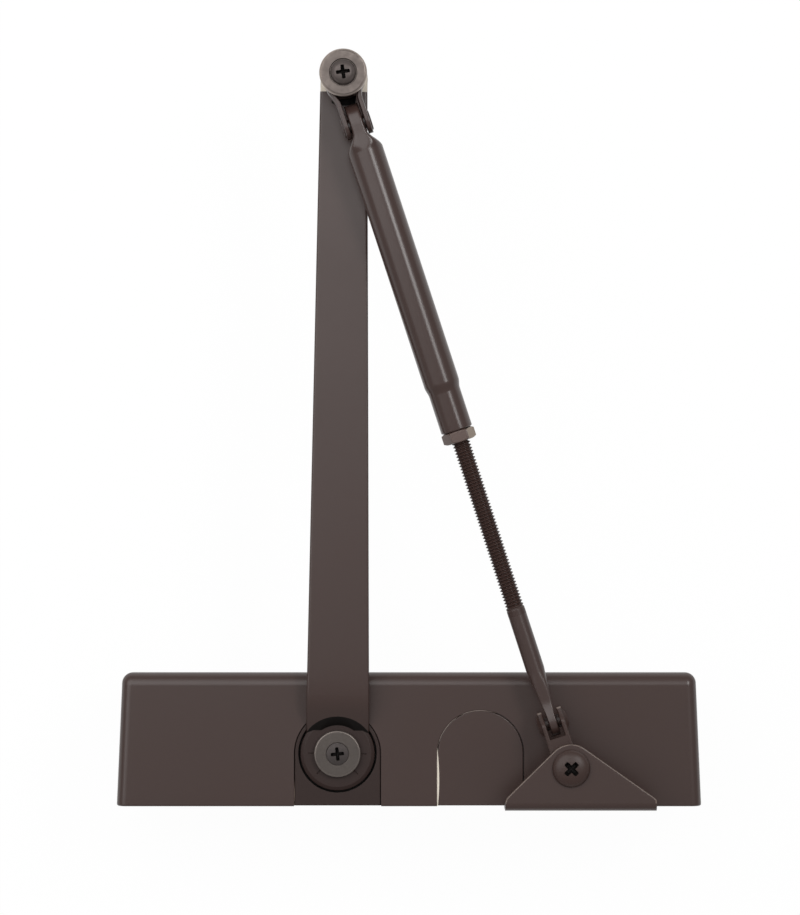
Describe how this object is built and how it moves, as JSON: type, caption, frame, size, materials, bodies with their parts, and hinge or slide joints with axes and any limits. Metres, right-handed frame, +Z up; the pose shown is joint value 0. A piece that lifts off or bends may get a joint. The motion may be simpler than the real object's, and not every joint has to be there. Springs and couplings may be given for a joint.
{
  "type": "overhead door closer",
  "caption": "Surface door closer: a boxed hydraulic body whose spindle turns a flat main arm, elbowed to an adjustable forearm and a shoe that screws to the door frame.",
  "frame": {"origin": "middle of the four door screw holes, on the door face", "axes": "+X along the door, towards the hinge in the stored hand; +Y into the door; +Z up along the spindle"},
  "size_m": [0.254, 0.3253, 0.1075],
  "materials": {
    "bronze_paint": "dark bronze paint, satin",
    "painted_fasteners": "dark bronze paint over steel, threads bare and dark",
    "plated_steel": "dull plated steel",
    "cast_body": "as cast, machined bores",
    "machined_steel": "turned and ground steel",
    "valve_brass": "turned brass",
    "seal_rubber": "nitrile rubber",
    "nylon": "plain nylon"
  },
  "bodies": {
    "closer_body": {"cover": "bronze_paint", "spindle_insert": "bronze_paint", "blank_insert": "bronze_paint", "cover_screws": "plated_steel", "body_casting": "cast_body", "plain_end_cap": "machined_steel", "spring_end_cap": "machined_steel", "end_cap_seals": "seal_rubber", "upper_bearing": "machined_steel", "lower_bearing": "machined_steel", "upper_spindle_nut": "machined_steel", "lower_spindle_nut": "machined_steel", "spindle_seals": "seal_rubber", "main_spring": "machined_steel"},
    "spindle_arm": {"pinion": "machined_steel", "main_arm": "bronze_paint", "arm_washer": "plated_steel", "arm_screw": "plated_steel", "elbow_stud": "painted_fasteners", "elbow_washer": "plated_steel", "elbow_screw": "plated_steel", "thrust_washer": "nylon"},
    "piston_rack": {"piston": "machined_steel", "check_ball": "machined_steel"},
    "power_seat": {"spring_seat": "machined_steel"},
    "power_screw": {"power_adjuster": "machined_steel"},
    "sweep": {"sweep_valve": "valve_brass"},
    "latch": {"latch_valve": "valve_brass"},
    "backcheck": {"backcheck_valve": "valve_brass"},
    "knuckle": {"elbow_knuckle": "bronze_paint", "knuckle_pin": "painted_fasteners"},
    "forearm_sleeve": {"forearm_tube": "bronze_paint", "jam_nut": "painted_fasteners"},
    "forearm_end": {"forearm_rod": "painted_fasteners"},
    "clevis": {"shoe_clevis": "bronze_paint", "clevis_pin": "painted_fasteners"},
    "frame_shoe": {"shoe": "bronze_paint", "shoe_bolt": "painted_fasteners", "shoe_nut": "painted_fasteners", "shoe_washer": "plated_steel"}
  },
  "joints": [
    {"name": "spindle_turn", "type": "hinge", "parent": "closer_body", "child": "spindle_arm", "pos_m": [0.031, -0.023, 0], "axis": [0, 0, -1], "range_deg": [0, 170], "stiffness_Nm_per_rad": 8, "springref_deg": -28.65},
    {"name": "piston_slide", "type": "slide", "parent": "closer_body", "child": "piston_rack", "axis": [-1, 0, 0], "range_m": [0, 0.03], "deforming": ["main_spring"]},
    {"name": "power_seat_slide", "type": "slide", "parent": "closer_body", "child": "power_seat", "axis": [1, 0, 0], "range_m": [0, 0.0074], "deforming": ["main_spring"]},
    {"name": "power_screw_turn", "type": "hinge", "parent": "power_seat", "child": "power_screw", "pos_m": [-0.1, -0.023, 0], "axis": [1, 0, 0], "range_deg": [0, 1780]},
    {"name": "sweep_turn", "type": "hinge", "parent": "closer_body", "child": "sweep", "pos_m": [0.098, -0.0455, 0.0045], "axis": [1, 0, 0], "range_deg": [-180, 180]},
    {"name": "latch_turn", "type": "hinge", "parent": "closer_body", "child": "latch", "pos_m": [0.098, -0.0455, -0.0045], "axis": [1, 0, 0], "range_deg": [-180, 180]},
    {"name": "backcheck_turn", "type": "hinge", "parent": "closer_body", "child": "backcheck", "pos_m": [-0.098, -0.0455, 0], "axis": [-1, 0, 0], "range_deg": [-180, 180]},
    {"name": "elbow_swivel", "type": "hinge", "parent": "spindle_arm", "child": "knuckle", "pos_m": [0.02809, -0.31509, 0.056], "axis": [0, 0, 1], "range_deg": [-6, 140]},
    {"name": "elbow_tilt", "type": "hinge", "parent": "knuckle", "child": "forearm_sleeve", "pos_m": [0.02238, -0.29381, 0.056], "axis": [0.9502, 0.3118, 0], "range_deg": [0, 12]},
    {"name": "forearm_length", "type": "slide", "parent": "forearm_sleeve", "child": "forearm_end", "axis": [-0.3115, 0.9494, -0.0388], "range_m": [-0.035, 0.025]},
    {"name": "shoe_tilt", "type": "hinge", "parent": "forearm_end", "child": "clevis", "pos_m": [-0.06183, -0.03717, 0.0455], "axis": [0.9502, 0.3118, 0], "range_deg": [0, 12]},
    {"name": "shoe_swivel", "type": "hinge", "parent": "clevis", "child": "frame_shoe", "pos_m": [-0.06927, -0.01835, 0.05], "axis": [0, 0, 1], "range_deg": [-65, 100]}
  ],
  "couplings": [
    {"joint": "piston_slide", "follows": "spindle_turn", "m_per_rad": 0.01},
    {"joint": "power_screw_turn", "follows": "power_seat_slide", "rad_per_m": 4188.8}
  ]
}
